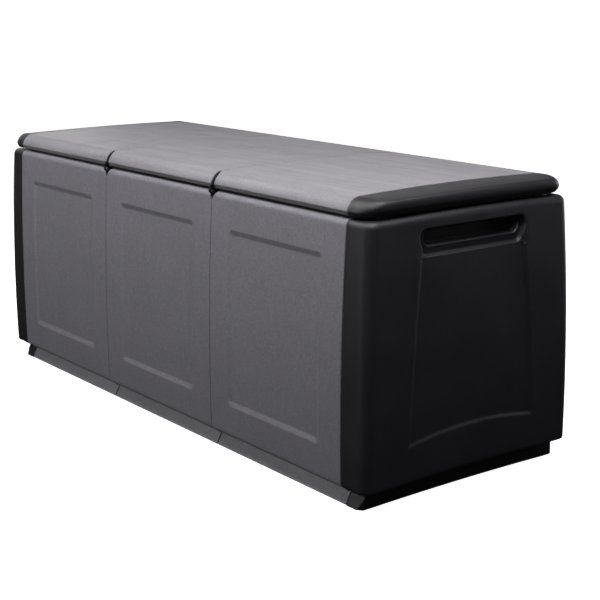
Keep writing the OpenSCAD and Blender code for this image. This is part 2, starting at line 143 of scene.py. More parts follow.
LID_BOTTOM = 524.0
LID_Y = 242.5
LID_X = 680.5
LID_EDGE_Z = 531.5
LID_UNDERCUT = 3.5
LID_NOSE = 26.5
NOSE_FLATNESS = 1.5
NOSE_END = 86
LID_CURVE_STEP = 4.0
LID_CROWN = 4.2
LID_NOSE_Z = BOX_H - LID_CROWN
LID_RIDGE_INSET = 9.5
LID_RIDGE_Z = 554.0
LID_CORNER = 40.0
LID_END_WIDEST_Z = 542.0
LID_RIM = 42.0
LID_RECESS_H = 10.0
LID_RECESS_BEVEL = 5.0
LID_RIDGE_FALL = 2.0
LID_RIDGE_HALF = 210.0

STRIP_W = 8.0
STRIP_OUT = 9.8
STRIP_T = 4.0
LID_STRIP_W = 8.4
LID_STRIP_OUT = 0.6
LID_STRIP_T = 7.0
EYE_Y = -243.0
EYE_Z = 518.3
EYE_R = 6.0
EYE_HOLE_R = 3.3
EYE_T = 3.0
EYE_SIDE = 0.15
EYE_SOFT = 0.45
EYE_COUNT = 48
NOTCH_T = 16.0
NOTCH_SLOT = 2.2
NOTCH_SLOT_Z = 498.0
NOTCH_SLOT_FADE = 4.0
NOTCH_FLARE = 12.0
NOTCH_FLARE_Z = 501.0
NOTCH_FLARE_POWER = 1.8
NOTCH_REACH = 38.0
LID_NOTCH = 4.4
LID_NOTCH_LOW = 4.6
LID_NOTCH_FADE = 9.0
LID_NOTCH_TOP = LID_NOSE_Z + 3.0
LID_NOTCH_ROWS = 14
LID_NOTCH_REACH = 30.0

HINGE_Y = 249.0
HINGE_Z = 524.0
KNUCKLE_R = 6.0
PIN_R = 3.0
ARM_W = 22.0
ARM_FRONT = 192.0
ARM_BOTTOM = 522.5
ARM_TOP = 528.0
CHEEK_W = 9.0
CHEEK_GAP = 0.5
BRACKET_H = 66.0
BRACKET_W = ARM_W + 2 * (CHEEK_W + CHEEK_GAP)
SCREW_X = 14.0
SCREW_DROPS = (34.0, 54.0)
ARM_SCREW_STEPS = (8.0, 22.0)
SCREW_COUNT = 48
PLATE_OUT = 3.0


# ---------- curves and stations ----------

def lean(z, amount):
    """How far a wall has leaned in at height z."""
    return amount * ((z - BULGE_Z) / (WALL_TOP - BULGE_Z)) ** 2


def face_y(z):
    """Half depth of the front and back walls' faces at height z."""
    return HALF_D - lean(z, FRONT_LEAN)


def end_x(z):
    """Half length of the end walls' faces at height z."""
    return HALF_L - lean(z, END_LEAN)


def crown_z(y):
    """Height of the lid's top at distance y from the middle."""
    return BOX_H - LID_CROWN * (y / (LID_Y - LID_NOSE)) ** 2


def nose_point(angle, inset=0.0):
    """(y, z) on the lid's nose, from 0 at its edge to a quarter turn where the top begins."""
    y = LID_Y - LID_NOSE + (LID_NOSE - inset) * np.cos(angle)
    z = LID_EDGE_Z + (LID_NOSE_Z - LID_EDGE_Z) * np.sin(angle) ** NOSE_FLATNESS - inset * np.sin(angle)
    return y, z


def normals(y, z):
    """Unit normals of a curve, as an array of their y and their z."""
    tangent = np.stack([np.gradient(y), np.gradient(z)])
    tangent /= np.linalg.norm(tangent, axis=0)
    return np.stack([-tangent[1], tangent[0]])


def ease(t):
    """Smooth step from 0 to 1."""
    t = np.clip(t, 0.0, 1.0)
    return t * t * (3 - 2 * t)


def dome(y, half):
    """1 in the middle, falling to 0 at distance half."""
    return np.clip(1 - (y / half) ** 2, 0.0, 1.0)


def stations(start, *runs):
    """Places along a line: each run is its end and its largest step."""
    places = [start]
    for end, step in runs:
        count = max(1, math.ceil((end - places[-1]) / step - 1e-9))
        places += list(np.linspace(places[-1], end, count + 1)[1:])
    return np.array(places)


def mirrored(half):
    """A half line of stations from 0, repeated on the other side."""
    return np.concatenate([-half[:0:-1], half])


def quarter(radius, count):
    """(along, across) of a quarter round: along runs from 0 to radius as the edge comes in by across."""
    angle = np.linspace(0, math.pi / 2, count + 1)
    return radius * np.sin(angle), radius * (1 - np.cos(angle))


def with_round_ends(half, inner, radius, count=5):
    """Stations from 0 to half with a rounded end, and how far the surface has come in at each."""
    along, across = quarter(radius, count)
    places = np.concatenate([inner, half - radius + along[1:]])
    inset = np.concatenate([np.zeros(len(inner)), across[1:]])
    return places, inset


# ---------- meshes ----------

def grid_faces(ids, skip=None):
    """Quads over a 2-D array of vertex numbers, leaving out those that skip marks."""
    quads = np.stack([ids[:-1, :-1], ids[1:, :-1], ids[1:, 1:], ids[:-1, 1:]], axis=-1)
    if skip is not None:
        quads = quads[~skip]
    return quads.reshape(-1, 4).tolist()


def ring_faces(ids):
    """Quads between rings of vertex numbers that each close on themselves."""
    return grid_faces(np.concatenate([ids, ids[:, :1]], axis=1))


def block(points, skip_outer=None):
    """The outside of a (nu, nv, nw, 3) block of points. skip_outer leaves a hole in its first layer."""
    ids = np.arange(points[..., 0].size).reshape(points.shape[:3])
    faces = grid_faces(ids[:, :, 0], skip_outer) + grid_faces(ids[:, :, -1])
    for side in (ids[0], ids[-1], ids[:, 0], ids[:, -1]):
        faces += grid_faces(side)
    return points.reshape(-1, 3), faces


def loft(rings, closed_path=False):
    """A closed shell through rings of points, capped at both ends unless the path closes."""
    rings = np.asarray(rings, float)
    ids = np.arange(rings.shape[0] * rings.shape[1]).reshape(rings.shape[:2])
    if closed_path:
        return rings.reshape(-1, 3), ring_faces(np.concatenate([ids, ids[:1]]))
    return rings.reshape(-1, 3), ring_faces(ids) + [ids[0].tolist(), ids[-1].tolist()]


def coons(low, high, left, right):
    """Grid of points that fills four edges. low and high run along u, left and right along v."""
    u = np.linspace(0, 1, len(low))[:, None, None]
    v = np.linspace(0, 1, len(left))[None, :, None]
    ruled_v = (1 - v) * low[:, None] + v * high[:, None]
    ruled_u = (1 - u) * left[None] + u * right[None]
    corners = ((1 - u) * (1 - v) * low[0] + u * (1 - v) * low[-1]
               + (1 - u) * v * high[0] + u * v * high[-1])
    return ruled_v + ruled_u - corners


def at_x(x, outline):
    """Points of a (y, z) outline at x."""
    return np.column_stack([x + np.zeros(len(outline)), outline])


def turned(part, side):
    """The part, mirrored to the left for side -1."""
    points, faces = part
    return np.asarray(points, float) * [side, 1, 1], faces


def smooth_object(name, shape, material):
    """Turns a bmesh into a smooth shaded object in the scene."""
    for face in shape.faces:
        face.smooth = True
    mesh = bpy.data.meshes.new(name)
    shape.to_mesh(mesh)
    shape.free()
    mesh.materials.append(material)
    made = bpy.data.objects.new(name, mesh)
    bpy.context.scene.collection.objects.link(made)
    return made


def piece(name, parts, body, nodes, material, sharp=32.0):
    """Joins parts into one welded, smooth shaded object that rides on body and replaces nodes."""
    shape = bmesh.new()
    for points, faces in parts:
        corners = [shape.verts.new(Vector(p) * MM) for p in points]
        for face in faces:
            ring = list(dict.fromkeys(face))
            if len(ring) > 2:
                shape.faces.new([corners[i] for i in ring])
    bmesh.ops.remove_doubles(shape, verts=shape.verts, dist=2e-6)
    bmesh.ops.dissolve_degenerate(shape, edges=shape.edges, dist=1e-7)
    bmesh.ops.delete(shape, geom=[v for v in shape.verts if not v.link_faces], context="VERTS")
    bmesh.ops.recalc_face_normals(shape, faces=shape.faces)
    for edge in shape.edges:
        edge.smooth = edge.calc_face_angle(0.0) < math.radians(sharp)
    made = smooth_object(name, shape, material)
    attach(made, body)
    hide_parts(*nodes)
    return made


# ---------- materials ----------

class Nodes:
    """Builds the nodes of one procedural material or world around its shader."""

    def __init__(self, owner, shader, coordinates):
        owner.use_nodes = True
        self.owner = owner
        self.tree = owner.node_tree
        self.shader = self.tree.nodes[shader]
        self.place = self.made("TexCoord").outputs[coordinates]

    def feed(self, socket, value):
        """Links a socket to another one, or sets it to a value."""
        if isinstance(value, bpy.types.NodeSocket):
            self.tree.links.new(value, socket)
        else:
            socket.default_value = value

    def made(self, kind, **inputs):
        """New node with its inputs fed; an underscore in an input's name stands for a space."""
        node = self.tree.nodes.new("ShaderNode" + kind)
        for key, value in inputs.items():
            self.feed(node.inputs[key.replace("_", " ")], value)
        return node

    def height(self):
        """The z coordinate."""
        return self.made("SeparateXYZ", Vector=self.place).outputs["Z"]

    def stretched(self, scale):
        """Coordinates scaled by (x, y, z)."""
        return self.made("Mapping", Vector=self.place, Scale=scale).outputs["Vector"]

    def noise(self, scale, detail=2.0, roughness=0.5, vector=None):
        """Noise value with so many features to a metre."""
        node = self.made("TexNoise", Vector=vector or self.place, Scale=scale, Detail=detail,
                         Roughness=roughness)
        return node.outputs["Fac"]

    def cells(self, scale):
        """Distance to the nearest point of a cell pattern."""
        return self.made("TexVoronoi", Vector=self.place, Scale=scale).outputs["Distance"]

    def mapped(self, value, low, high, to_low, to_high, shape="LINEAR"):
        """Value clamped from one range to another."""
        node = self.made("MapRange", Value=value, From_Min=low, From_Max=high, To_Min=to_low, To_Max=to_high)
        node.interpolation_type = shape
        return node.outputs["Result"]

    def mixed(self, fac, first, second, blend="MIX"):
        """Colour mix; either colour may be a tuple or a socket."""
        node = self.made("Mix")
        node.data_type = "RGBA"
        node.blend_type = blend
        self.feed(node.inputs["Factor"], fac)
        for key, colour in (("A", first), ("B", second)):
            socket = [s for s in node.inputs if s.name == key and s.type == "RGBA"][0]
            self.feed(socket, (*colour, 1.0) if isinstance(colour, tuple) else colour)
        return [s for s in node.outputs if s.type == "RGBA"][0]

    def added(self, first, second):
        """Sum of two values."""
        node = self.made("Math")
        node.operation = "ADD"
        self.feed(node.inputs[0], first)
        self.feed(node.inputs[1], second)
        return node.outputs[0]

    def bump(self, height, distance, strength, **under):
        """Bump node of a height field, on top of another bump given as Normal."""
        node = self.made("Bump", Height=height, Distance=distance, Strength=strength, **under)
        return node.outputs["Normal"]

    def finish(self, colour, roughness, normal):
        """Links colour, roughness and normal to the shader and gives the material."""
        self.feed(self.shader.inputs["Base Color"], colour)
        self.feed(self.shader.inputs["Roughness"], roughness)
        self.feed(self.shader.inputs["Normal"], normal)
        return self.owner


def material_nodes(name):
    """Nodes of a new material."""
    return Nodes(bpy.data.materials.new(name), "Principled BSDF", "Object")


def scaled(colour, factor):
    """A colour made lighter or darker."""
    return tuple(c * factor for c in colour)


def moulded(name, colour, rough, mottle, grain, streak=0.0, specular=0.4):
    """Grained moulded polypropylene: fine grain, soft waviness, cloudy pigment and light scuffs."""
    n = material_nodes(name)
    clouds = n.mapped(n.noise(9.0, 3.0, 0.6), 0.3, 0.7, 0.0, 1.0)
    tone = n.mixed(clouds, scaled(colour, 1 - mottle), scaled(colour, 1 + mottle))
    specks = n.mapped(n.noise(420.0, 2.0, 0.7), 0.35, 0.65, 0.0, 1.0)
    tone = n.mixed(specks, tone, n.mixed(specks, tone, scaled(colour, 1.16)))
    for scale, depth in ((75.0, 0.90), (190.0, 0.82), (330.0, 0.72)):
        grit = n.mapped(n.noise(scale, 3.0, 0.65), 0.3, 0.7, 0.0, 1.0)
        tone = n.mixed(grit, tone, (depth,) * 3, "MULTIPLY")
    flow = n.noise(6.0, 4.0, 0.7, n.stretched((0.5, 9.0, 9.0)))
    if streak:
        lines = n.mapped(flow, 0.35, 0.65, 0.0, streak)
        tone = n.mixed(lines, tone, scaled(colour, 1.25))
    scuffs = n.mapped(n.noise(70.0, 6.0, 0.75, n.stretched((1.0, 1.0, 0.35))), 0.62, 0.78, 0.0, 0.25)
    tone = n.mixed(scuffs, tone, scaled(colour, 1.35))
    shine = n.added(
        n.mapped(n.noise(14.0, 3.0), 0.3, 0.7, rough - 0.05, rough + 0.04),
        n.mapped(n.noise(900.0, 1.0), 0.3, 0.7, -0.03, 0.03),
    )
    normal = n.bump(n.noise(11.0, 2.0), 0.0012, 0.35)
    normal = n.bump(n.noise(130.0, 3.0, 0.6), 0.0004, 0.35, Normal=normal)
    normal = n.bump(n.cells(1150.0), 0.00012, grain, Normal=normal)
    normal = n.bump(n.noise(1500.0, 3.0, 0.6), 0.0001, grain, Normal=normal)
    n.shader.inputs["Specular IOR Level"].default_value = specular
    return n.finish(tone, shine, normal)


def plated_steel(name):
    """Zinc plated steel with soft spangle and fine drawing marks."""
    n = material_nodes(name)
    spangle = n.mapped(n.cells(320.0), 0.1, 0.7, 0.0, 1.0)
    tone = n.mixed(spangle, (0.46, 0.46, 0.45), (0.62, 0.62, 0.60))
    shine = n.mapped(n.noise(500.0, 3.0), 0.3, 0.7, 0.26, 0.44)
    normal = n.bump(n.noise(900.0, 2.0, 0.5, n.stretched((0.1, 1.0, 1.0))), 0.00005, 0.3)
    n.shader.inputs["Metallic"].default_value = 1.0
    return n.finish(tone, shine, normal)


def backdrop_paint(name):
    """Pale matt studio paper with the faintest unevenness, lit a little from behind where it rises."""
    n = material_nodes(name)
    tone = n.mixed(n.noise(1.5, 3.0), (0.80, 0.80, 0.80), (0.82, 0.82, 0.82))
    shine = n.mapped(n.noise(3.0, 2.0), 0.3, 0.7, 0.8, 0.9)
    normal = n.bump(n.noise(120.0, 2.0), 0.0002, 0.1)
    n.shader.inputs["Emission Color"].default_value = (1.0, 1.0, 1.0, 1.0)
    glow = n.mapped(n.height(), 0.0, BACKDROP_R / 3, FLOOR_GLOW, WALL_GLOW)
    n.feed(n.shader.inputs["Emission Strength"], glow)
    return n.finish(tone, shine, normal)


GREY_WALL = moulded("grey_wall_plastic", (0.194, 0.188, 0.211), 0.52, 0.05, 0.45)
# Floor modules: partly their own lighter grey plastic, and partly painted light, made lighter to stand in for
# the bounce from the white floor that the stage does not give.
GREY_FLOOR_PAINTED_BOUNCE = moulded("grey_floor_plastic_painted_bounce", (0.340, 0.329, 0.361), 0.52, 0.05, 0.45)
GREY_LID = moulded("grey_lid_plastic", (0.192, 0.185, 0.201), 0.50, 0.05, 0.40, streak=0.5)
BLACK = moulded("black_end_plastic", (0.0142, 0.0127, 0.0163), 0.44, 0.10, 1.20)
BLACK_STRIP = moulded("black_strip_plastic", (0.0050, 0.0047, 0.0058), 0.60, 0.05, 0.60, specular=0.12)
STEEL = plated_steel("plated_steel")


# ---------- walls ----------

def wall_levels():
    """Heights of a wall's outer edge from foot to shoulder, and its set-back at each."""
    foot_up, foot_in = quarter(FOOT_R, 4)
    top_up, top_in = quarter(SHOULDER_R, 9)
    low, high = RECESS_LOW, RECESS_HIGH
    heights = stations(WALL_BOTTOM + FOOT_R, (low - 1, 9), (low + 1, 0.5), (low + RECESS_BEVEL - 1, 2.2),
                       (low + RECESS_BEVEL + 1, 0.5), (high - RECESS_BEVEL - 1, 15),
                       (high - RECESS_BEVEL + 1, 0.5), (high - 1, 2.2), (high + 1, 0.5),
                       (SHOULDER_Z - 10, 8), (SHOULDER_Z, 2.5))
    z = np.concatenate([WALL_BOTTOM + FOOT_R - foot_up[:0:-1], heights, SHOULDER_Z + top_up[1:]])
    inset = np.concatenate([foot_in[:0:-1], np.zeros(len(heights)), top_in[1:]])
    return z, inset


def framed_recess(x, z):
    """Depth of a wall module's shallow recess: flat bevels above and below, soft ones at its sides."""
    across = ease((RECESS_HALF - np.abs(x)) / RECESS_SIDE_BEVEL)
    slope = np.minimum(z - RECESS_LOW, RECESS_HIGH - z) / RECESS_BEVEL
    up = 0.5 * np.clip(slope, 0, 1) + 0.5 * ease(slope)
    return RECESS_T * across * up


def notch_half(z):
    """How far a wall module draws back from the seam round the padlock eyes."""
    slot = NOTCH_SLOT * ease((z - NOTCH_SLOT_Z) / NOTCH_SLOT_FADE)
    rise = np.clip((z - NOTCH_FLARE_Z) / (WALL_TOP - NOTCH_FLARE_Z), 0, 1)
    return slot + NOTCH_FLARE * rise ** NOTCH_FLARE_POWER


def wall_panel(index, side):
    """Block of one wall module: outer face with recess, notch sides at two depths, inner face."""
    half = MODULE_HALF
    inner = stations(0, (RECESS_HALF - RECESS_SIDE_BEVEL - 2, 12), (RECESS_HALF + 2, 2), (half - 28, 9),
                     (half - EDGE_R, 3.2))
    places, drop = with_round_ends(half, inner, EDGE_R)
    x = mirrored(places)[:, None]
    x_set = np.concatenate([drop[:0:-1], drop])[:, None]
    z, inset = wall_levels()
    z, inset = z[None], inset[None]
    squeeze = np.zeros_like(x * z)
    for seam in (-1, 1):
        if side < 0 and abs(index + seam) <= 1:
            reach = np.clip(1 - (half - seam * x) / NOTCH_REACH, 0, 1)
            squeeze -= seam * notch_half(z) * reach
    mid = index * MODULE_L
    outer = face_y(z) - inset - x_set - framed_recess(x, z)
    depth = np.maximum(NOTCH_T, inset + x_set + 0.3)
    layers = (
        (x + squeeze, outer),
        (x + squeeze, face_y(z) - depth),
        (x + 0 * z, face_y(z) - depth - 0.2),
        (x + 0 * z, face_y(z) - WALL_T + 0 * x),
    )
    points = [np.stack([mid + px, side * py, z + 0 * x], axis=-1) for px, py in layers]
    return block(np.stack(points, axis=2))


def recess_side(z):
    """Half width of the end recess at height z."""
    t = np.clip((z - END_RECESS_LOW) / (END_RECESS_HIGH - END_RECESS_LOW), 0, 1)
    return END_RECESS_LOW_W + t * (END_RECESS_HIGH_W - END_RECESS_LOW_W) + END_RECESS_BOW * 4 * t * (1 - t)


def end_recess_depth(y, z):
    """Depth of the end wall's shallow recess, which widens downwards and arches along its lower edge."""
    low = END_RECESS_LOW + END_RECESS_ARCH * dome(y, END_RECESS_LOW_W)
    across = ease((recess_side(z) - np.abs(y)) / END_RECESS_BEVEL)
    up = ease((z - low) / END_RECESS_BEVEL) * ease((END_RECESS_HIGH - z) / END_RECESS_BEVEL)
    return END_RECESS_T * across * up


def end_columns(z, cy, columns):
    """Places across the end face: columns follow the recess's slanting sides."""
    side = recess_side(z)
    within = np.abs(columns) * side / END_COLUMN_SIDE
    beyond = side + (np.abs(columns) - END_COLUMN_SIDE) * (cy - side) / (END_COLUMN_HALF - END_COLUMN_SIDE)
    return np.sign(columns) * np.where(np.abs(columns) <= END_COLUMN_SIDE, within, beyond)


def end_path(z, half_x, half_y, radius, start_x, seam_places, columns):
    """(x, y) round the end wall at every height: seam, corner, end, corner, seam."""
    cx, cy = half_x - radius, half_y - radius
    first = seam_places[:6, None]
    share = seam_places[6:, None]
    straight = np.concatenate([start_x + first + 0 * z, start_x + EDGE_R + share * (cx - start_x - EDGE_R)])
    angle = np.radians(stations(0, (90, 7.5)))[1:-1, None]
    corner = cx + radius * np.sin(angle), -(cy + radius * np.cos(angle))
    across = end_columns(z, cy, columns[:, None])
    x = np.concatenate([straight, corner[0], half_x + 0 * across, corner[0][::-1], straight[::-1]])
    y = np.concatenate([-half_y + 0 * straight, corner[1], across, -corner[1][::-1], half_y + 0 * straight])
    return x, y


def shifted_height(y, z):
    """Height of a point of the end wall, whose foot and recess arch up and whose top is crowned."""
    arch = np.interp(z, [WALL_BOTTOM, END_RECESS_LOW, END_ARCH_TOP], [END_FOOT_ARCH, END_RECESS_ARCH, 0.0])
    crown = END_TOP_CROWN * np.interp(z, [END_CROWN_LOW, WALL_TOP], [0.0, 1.0])
    return z + arch * dome(y, END_RECESS_LOW_W + 30) + crown * dome(y, END_CROWN_HALF)


def end_face_x(y, z):
    """Where the end wall's outer face is at (y, z)."""
    return end_x(z) - end_recess_depth(y, z)


def end_levels():
    """Heights and set-backs of the end wall, with rows at the hand pocket's surround."""
    z, inset = wall_levels()
    middle = stations(WALL_BOTTOM + FOOT_R, (94, 8), (122, 2.2), (424, 12), (HOLE_LOW, 2.5), (HOLE_HIGH, 4.2),
                      (SHOULDER_Z, 2.5))
    foot, top = z < WALL_BOTTOM + FOOT_R - 1e-6, z > SHOULDER_Z + 1e-6
    return (np.concatenate([z[foot], middle, z[top]]),
            np.concatenate([inset[foot], np.zeros(len(middle)), inset[top]]))


def pocket_outline(low, high, low_w, high_w, low_r, high_r, counts):
    """Closed outline of the hand pocket in (y, z), split into as many steps as the hole's four sides."""
    along, up = counts
    corners = [(-low_w, low, low_r), (low_w, low, low_r), (high_w, high, high_r), (-high_w, high, high_r)]
    arcs = [fillet_arc(corners[i - 1][:2], corners[i][:2], corners[(i + 1) % 4][:2], corners[i][2], 12)
            for i in range(4)]
    sides = []
    for i, count in enumerate((along, up, along, up)):
        path = np.concatenate([arcs[i][6:], arcs[(i + 1) % 4][:7]])
        sides.append(resampled(path, count, 0.55 if count == along else 0.0)[:-1])
    return np.concatenate(sides)


def fillet_arc(before, corner, after, radius, count):
    """Points of the rounding of a corner between two straight sides."""
    before, corner, after = (np.array(p, float) for p in (before, corner, after))
    to_before = (before - corner) / np.linalg.norm(before - corner)
    to_after = (after - corner) / np.linalg.norm(after - corner)
    half = math.acos(np.clip(to_before @ to_after, -1, 1)) / 2
    middle = to_before + to_after
    centre = corner + middle / np.linalg.norm(middle) * radius / math.sin(half)
    start = corner + to_before * radius / math.tan(half) - centre
    end = corner + to_after * radius / math.tan(half) - centre
    sweep = math.pi - 2 * half
    turn = math.copysign(sweep, start[0] * end[1] - start[1] * end[0])
    angle = np.linspace(0, turn, count + 1)[:, None]
    return centre + np.cos(angle) * start + np.sin(angle) * np.array([-start[1], start[0]])


def filleted(corners, closed=True):
    """Outline through corners of (y, z, radius); an open one keeps all its corners sharp."""
    outline = []
    count = len(corners)
    for i, (y, z, r) in enumerate(corners):
        if not closed:
            outline.append((y, z))
            continue
        outline += list(fillet_arc(corners[i - 1][:2], (y, z), corners[(i + 1) % count][:2], r, 4))
    return np.array(outline)


def resampled(path, count, gather):
    """The path in count steps, closer together at its ends by gather."""
    step = np.linalg.norm(np.diff(path, axis=0), axis=1)
    length = np.concatenate([[0], np.cumsum(step)])
    t = np.linspace(0, 1, count + 1)
    t = (t - gather * np.sin(2 * math.pi * t) / (2 * math.pi)) * length[-1]
    return np.stack([np.interp(t, length, path[:, k]) for k in (0, 1)], axis=-1)


def pocket_rings(rim, counts):
    """Rings of the hand pocket: the hole's rim, the lip, the step, the ledge and the deep back."""
    mouth = dict(low=POCKET_LOW, high=POCKET_HIGH, low_w=POCKET_LOW_W, high_w=POCKET_HIGH_W)
    deep = dict(low=POCKET_LEDGE, high=POCKET_HIGH - POCKET_RIM_T, low_w=POCKET_LOW_W - POCKET_SIDE_T,
                high_w=POCKET_HIGH_W - POCKET_SIDE_T)

    def ring(sizes, shrink, depth, radii, lift=0.0, base=end_x(END_RECESS_HIGH)):
        heights = sizes["low"] + shrink, sizes["high"] - shrink + lift
        halves = sizes["low_w"] - shrink, sizes["high_w"] - shrink
        outline = pocket_outline(*heights, *halves, *radii, counts)
        return at_x(base - depth, outline)

    lip = ring(mouth, -POCKET_LIP, 0.0, (16, 18))
    lip_x = end_face_x(lip[:, 1], lip[:, 2])
    rings = [rim]
    for t in (0.33, 0.66, 1.0):
        blend = rim[:, 1:] * (1 - t) + lip[:, 1:] * t
        rings.append(at_x(end_face_x(blend[:, 0], blend[:, 1]), blend))
    for angle in (22, 45, 68, 90):
        a = math.radians(angle)
        out, back = POCKET_LIP * (math.sin(a) - 1), POCKET_LIP * (1 - math.cos(a))
        rings.append(ring(mouth, out, back, (15, 17), base=lip_x))
    for shrink, depth, radii in ((0.8, -2.0, (14, 16)), (1.6, 0.8, (14, 16)), (3.2, 1.6, (13, 14))):
        rings.append(ring(mouth, shrink, POCKET_STEP_T + depth, radii))
    for shrink, depth, lift in ((-1.6, -0.6, 0.0), (-0.5, 0.7, 0.0), (0.0, 3.0, 0.5)):
        rings.append(ring(deep, shrink, POCKET_STEP_T + depth, (15, 13), lift))
    for shrink, depth, radii in ((0.6, 4.0, (16, 13)), (2.0, 1.0, (15, 12)), (4.5, 0.0, (14, 11))):
        rings.append(ring(deep, shrink, POCKET_T - depth, radii, POCKET_GRIP))
    return rings


def pocket_part(rim, counts):
    """The hand pocket's surface, with its back filled by a grid."""
    along, up = counts
    rings = np.array(pocket_rings(rim, counts))
    ids = np.arange(rings.shape[0] * rings.shape[1]).reshape(rings.shape[:2])
    faces = ring_faces(ids)
    last = rings[-1]
    low = last[:along + 1]
    right = last[along:along + up + 1]
    high = last[along + up:2 * along + up + 1][::-1]
    left = np.concatenate([last[2 * along + up:], last[:1]])[::-1]
    fill = coons(low, high, left, right)
    fill_ids = np.arange(fill[..., 0].size).reshape(fill.shape[:2]) + ids.size
    return np.concatenate([rings.reshape(-1, 3), fill.reshape(-1, 3)]), faces + grid_faces(fill_ids)


def end_wall(side):
    """End wall as a block round three sides with the hand pocket let into it, and its two rest pads."""
    z, inset = end_levels()
    radius = CORNER_R - inset
    columns = mirrored(stations(0, (127, 5.5), (141, 2), (HOLE_HALF, 5), (END_COLUMN_HALF, 8)))
    along, across = quarter(EDGE_R, 5)
    seam_places = np.concatenate([EDGE_R - along[::-1], np.array([0.35, 0.7, 1.0])])
    start_x = SEAM_EDGE_X
    x, y = end_path(z, end_x(z) - inset, face_y(z) - inset, radius, start_x, seam_places, columns)
    seam_in = np.zeros(len(x))
    seam_in[:6] = across[::-1]
    seam_in[-6:] = across
    height = shifted_height(y, z[None])
    x = x - end_recess_depth(y, height) * (np.abs(y) < END_CROWN_HALF)
    y = y - np.sign(y) * seam_in[:, None]
    inner_x, inner_y = end_path(z, end_x(z) - END_T, face_y(z) - WALL_T, INNER_CORNER_R, start_x,
                                seam_places, columns)
    inner_z = shifted_height(y, z[None])
    points = np.stack([np.stack([x, y, height], -1), np.stack([inner_x, inner_y, inner_z], -1)], axis=2)
    first = (len(x) - len(columns)) // 2
    c0, c1 = (first + int(np.argmin(np.abs(columns - s * (HOLE_HALF)))) for s in (-1, 1))
    r0, r1 = (int(np.argmin(np.abs(z - level))) for level in (HOLE_LOW, HOLE_HIGH))
    skip = np.zeros((len(x) - 1, len(z) - 1), bool)
    skip[c0:c1, r0:r1] = True
    outer = points[:, :, 0]
    rim = np.concatenate([outer[c0:c1, r0], outer[c1, r0:r1], outer[c1:c0:-1, r1], outer[c0, r1:r0:-1]])
    pads = [rest_pad(s) for s in (-1, 1)]
    parts = [block(points, skip), pocket_part(rim, (c1 - c0, r1 - r0)), *pads]
    return [turned(p, side) for p in parts]


def rounded_rect(cx, cy, half_x, half_y, radius, count=5):
    """Closed outline of a rectangle with rounded corners, in its own plane."""
    outline = []
    for quarter_turn in range(4):
        for a in np.linspace(0, math.pi / 2, count + 1) + quarter_turn * math.pi / 2:
            sx, sy = ((1, 1), (-1, 1), (-1, -1), (1, -1))[quarter_turn]
            outline.append((cx + sx * (half_x - radius) + radius * math.cos(a),
                            cy + sy * (half_y - radius) + radius * math.sin(a)))
    return np.array(outline)


def disc(radius, count=32, start=0.0, stop=360.0):
    """Points of an arc, (y, z)."""
    a = np.radians(np.linspace(start, stop, count))
    return np.column_stack([radius * np.cos(a), radius * np.sin(a)])


def upright(outlines_and_heights):
    """Loft through plan outlines at heights."""
    return loft([np.column_stack([o, np.full(len(o), z)]) for o, z in outlines_and_heights])


def rest_pad(side):
    """Small soft pad on an end wall, under the lid's edge."""
    x, y, top = HALF_L - END_LEAN - END_T + PAD_SET, side * PAD_Y, LID_BOTTOM - PAD_PLAY
    shapes = [(rounded_rect(x, y, PAD_HALF_X - s, PAD_HALF_Y - s, PAD_R - s), top - h)
              for s, h in ((0.0, 7.0), (0.0, 1.2), (0.5, 0.4), (1.4, 0.0))]
    return upright(shapes)


# ---------- floor and plinth ----------

def floor_outline(shrink=0.0):
    """Section of the plinth, shelf and deck in (y, z), with small roundings at its visible edges."""
    deck = face_y(WALL_BOTTOM) - WALL_T - DECK_PLAY
    shelf = HALF_D - SHELF_INSET
    low = WALL_BOTTOM - SHELF_T
    front = [(deck, WALL_BOTTOM + DECK_STEP, 2.0), (deck, WALL_BOTTOM, 0.8), (shelf, WALL_BOTTOM, 1.2),
             (shelf, low, 1.5), (PLINTH_Y - PLINTH_SLOPE, low, 0.6),
             (PLINTH_Y - PLINTH_SLOPE, PLINTH_SLOPE_H, 3.0), (PLINTH_Y, 0.0, 2.0)]
    back = [(PLINTH_BACK_Y, 0.0, 2.0), (PLINTH_BACK_Y, WALL_BOTTOM, 1.0), (deck, WALL_BOTTOM, 0.8),
            (deck, WALL_BOTTOM + DECK_STEP, 2.0)]
    outline = filleted([(-y, z, r) for y, z, r in front] + back)
    middle = np.array([0.0, WALL_BOTTOM / 2])
    return outline - np.sign(outline - middle) * shrink


def floor_panel(index):
    """Floor module: the section drawn along its length, with softened ends."""
    rings = []
    ends = ((0.0, FLOOR_SEAM_T), (FLOOR_SEAM, FLOOR_SEAM_T), (FLOOR_SEAM, 0.8), (FLOOR_SEAM + 0.3, 0.2),
            (FLOOR_SEAM + 0.8, 0.0))
    left = [(-MODULE_HALF + x, shrink) for x, shrink in ends]
    for x, shrink in left + [(-x, shrink) for x, shrink in left[::-1]]:
        rings.append(at_x(index * MODULE_L + x, floor_outline(shrink)))
    return loft(rings)


def plan_outline(end, front_y, back_y, cut, back_r):
    """Plan of an end piece from seam to seam; cut is how much its front corner loses each way."""
    run = np.linspace(0, 1, 7)[:, None]
    front = np.array([end - cut[0], -front_y]) * (1 - run) + np.array([end, -front_y + cut[1]]) * run
    across = np.linspace(-front_y + cut[1], back_y - back_r, 25)[1:-1]
    turn = np.linspace(0, math.pi / 2, 7)
    back = np.column_stack([end - back_r * (1 - np.cos(turn)), back_y - back_r * (1 - np.sin(turn))])
    middle = np.column_stack([np.full(len(across), end), across])
    return np.concatenate([[(SEAM_EDGE_X, -front_y)], front, middle, back, [(SEAM_EDGE_X, back_y)]])


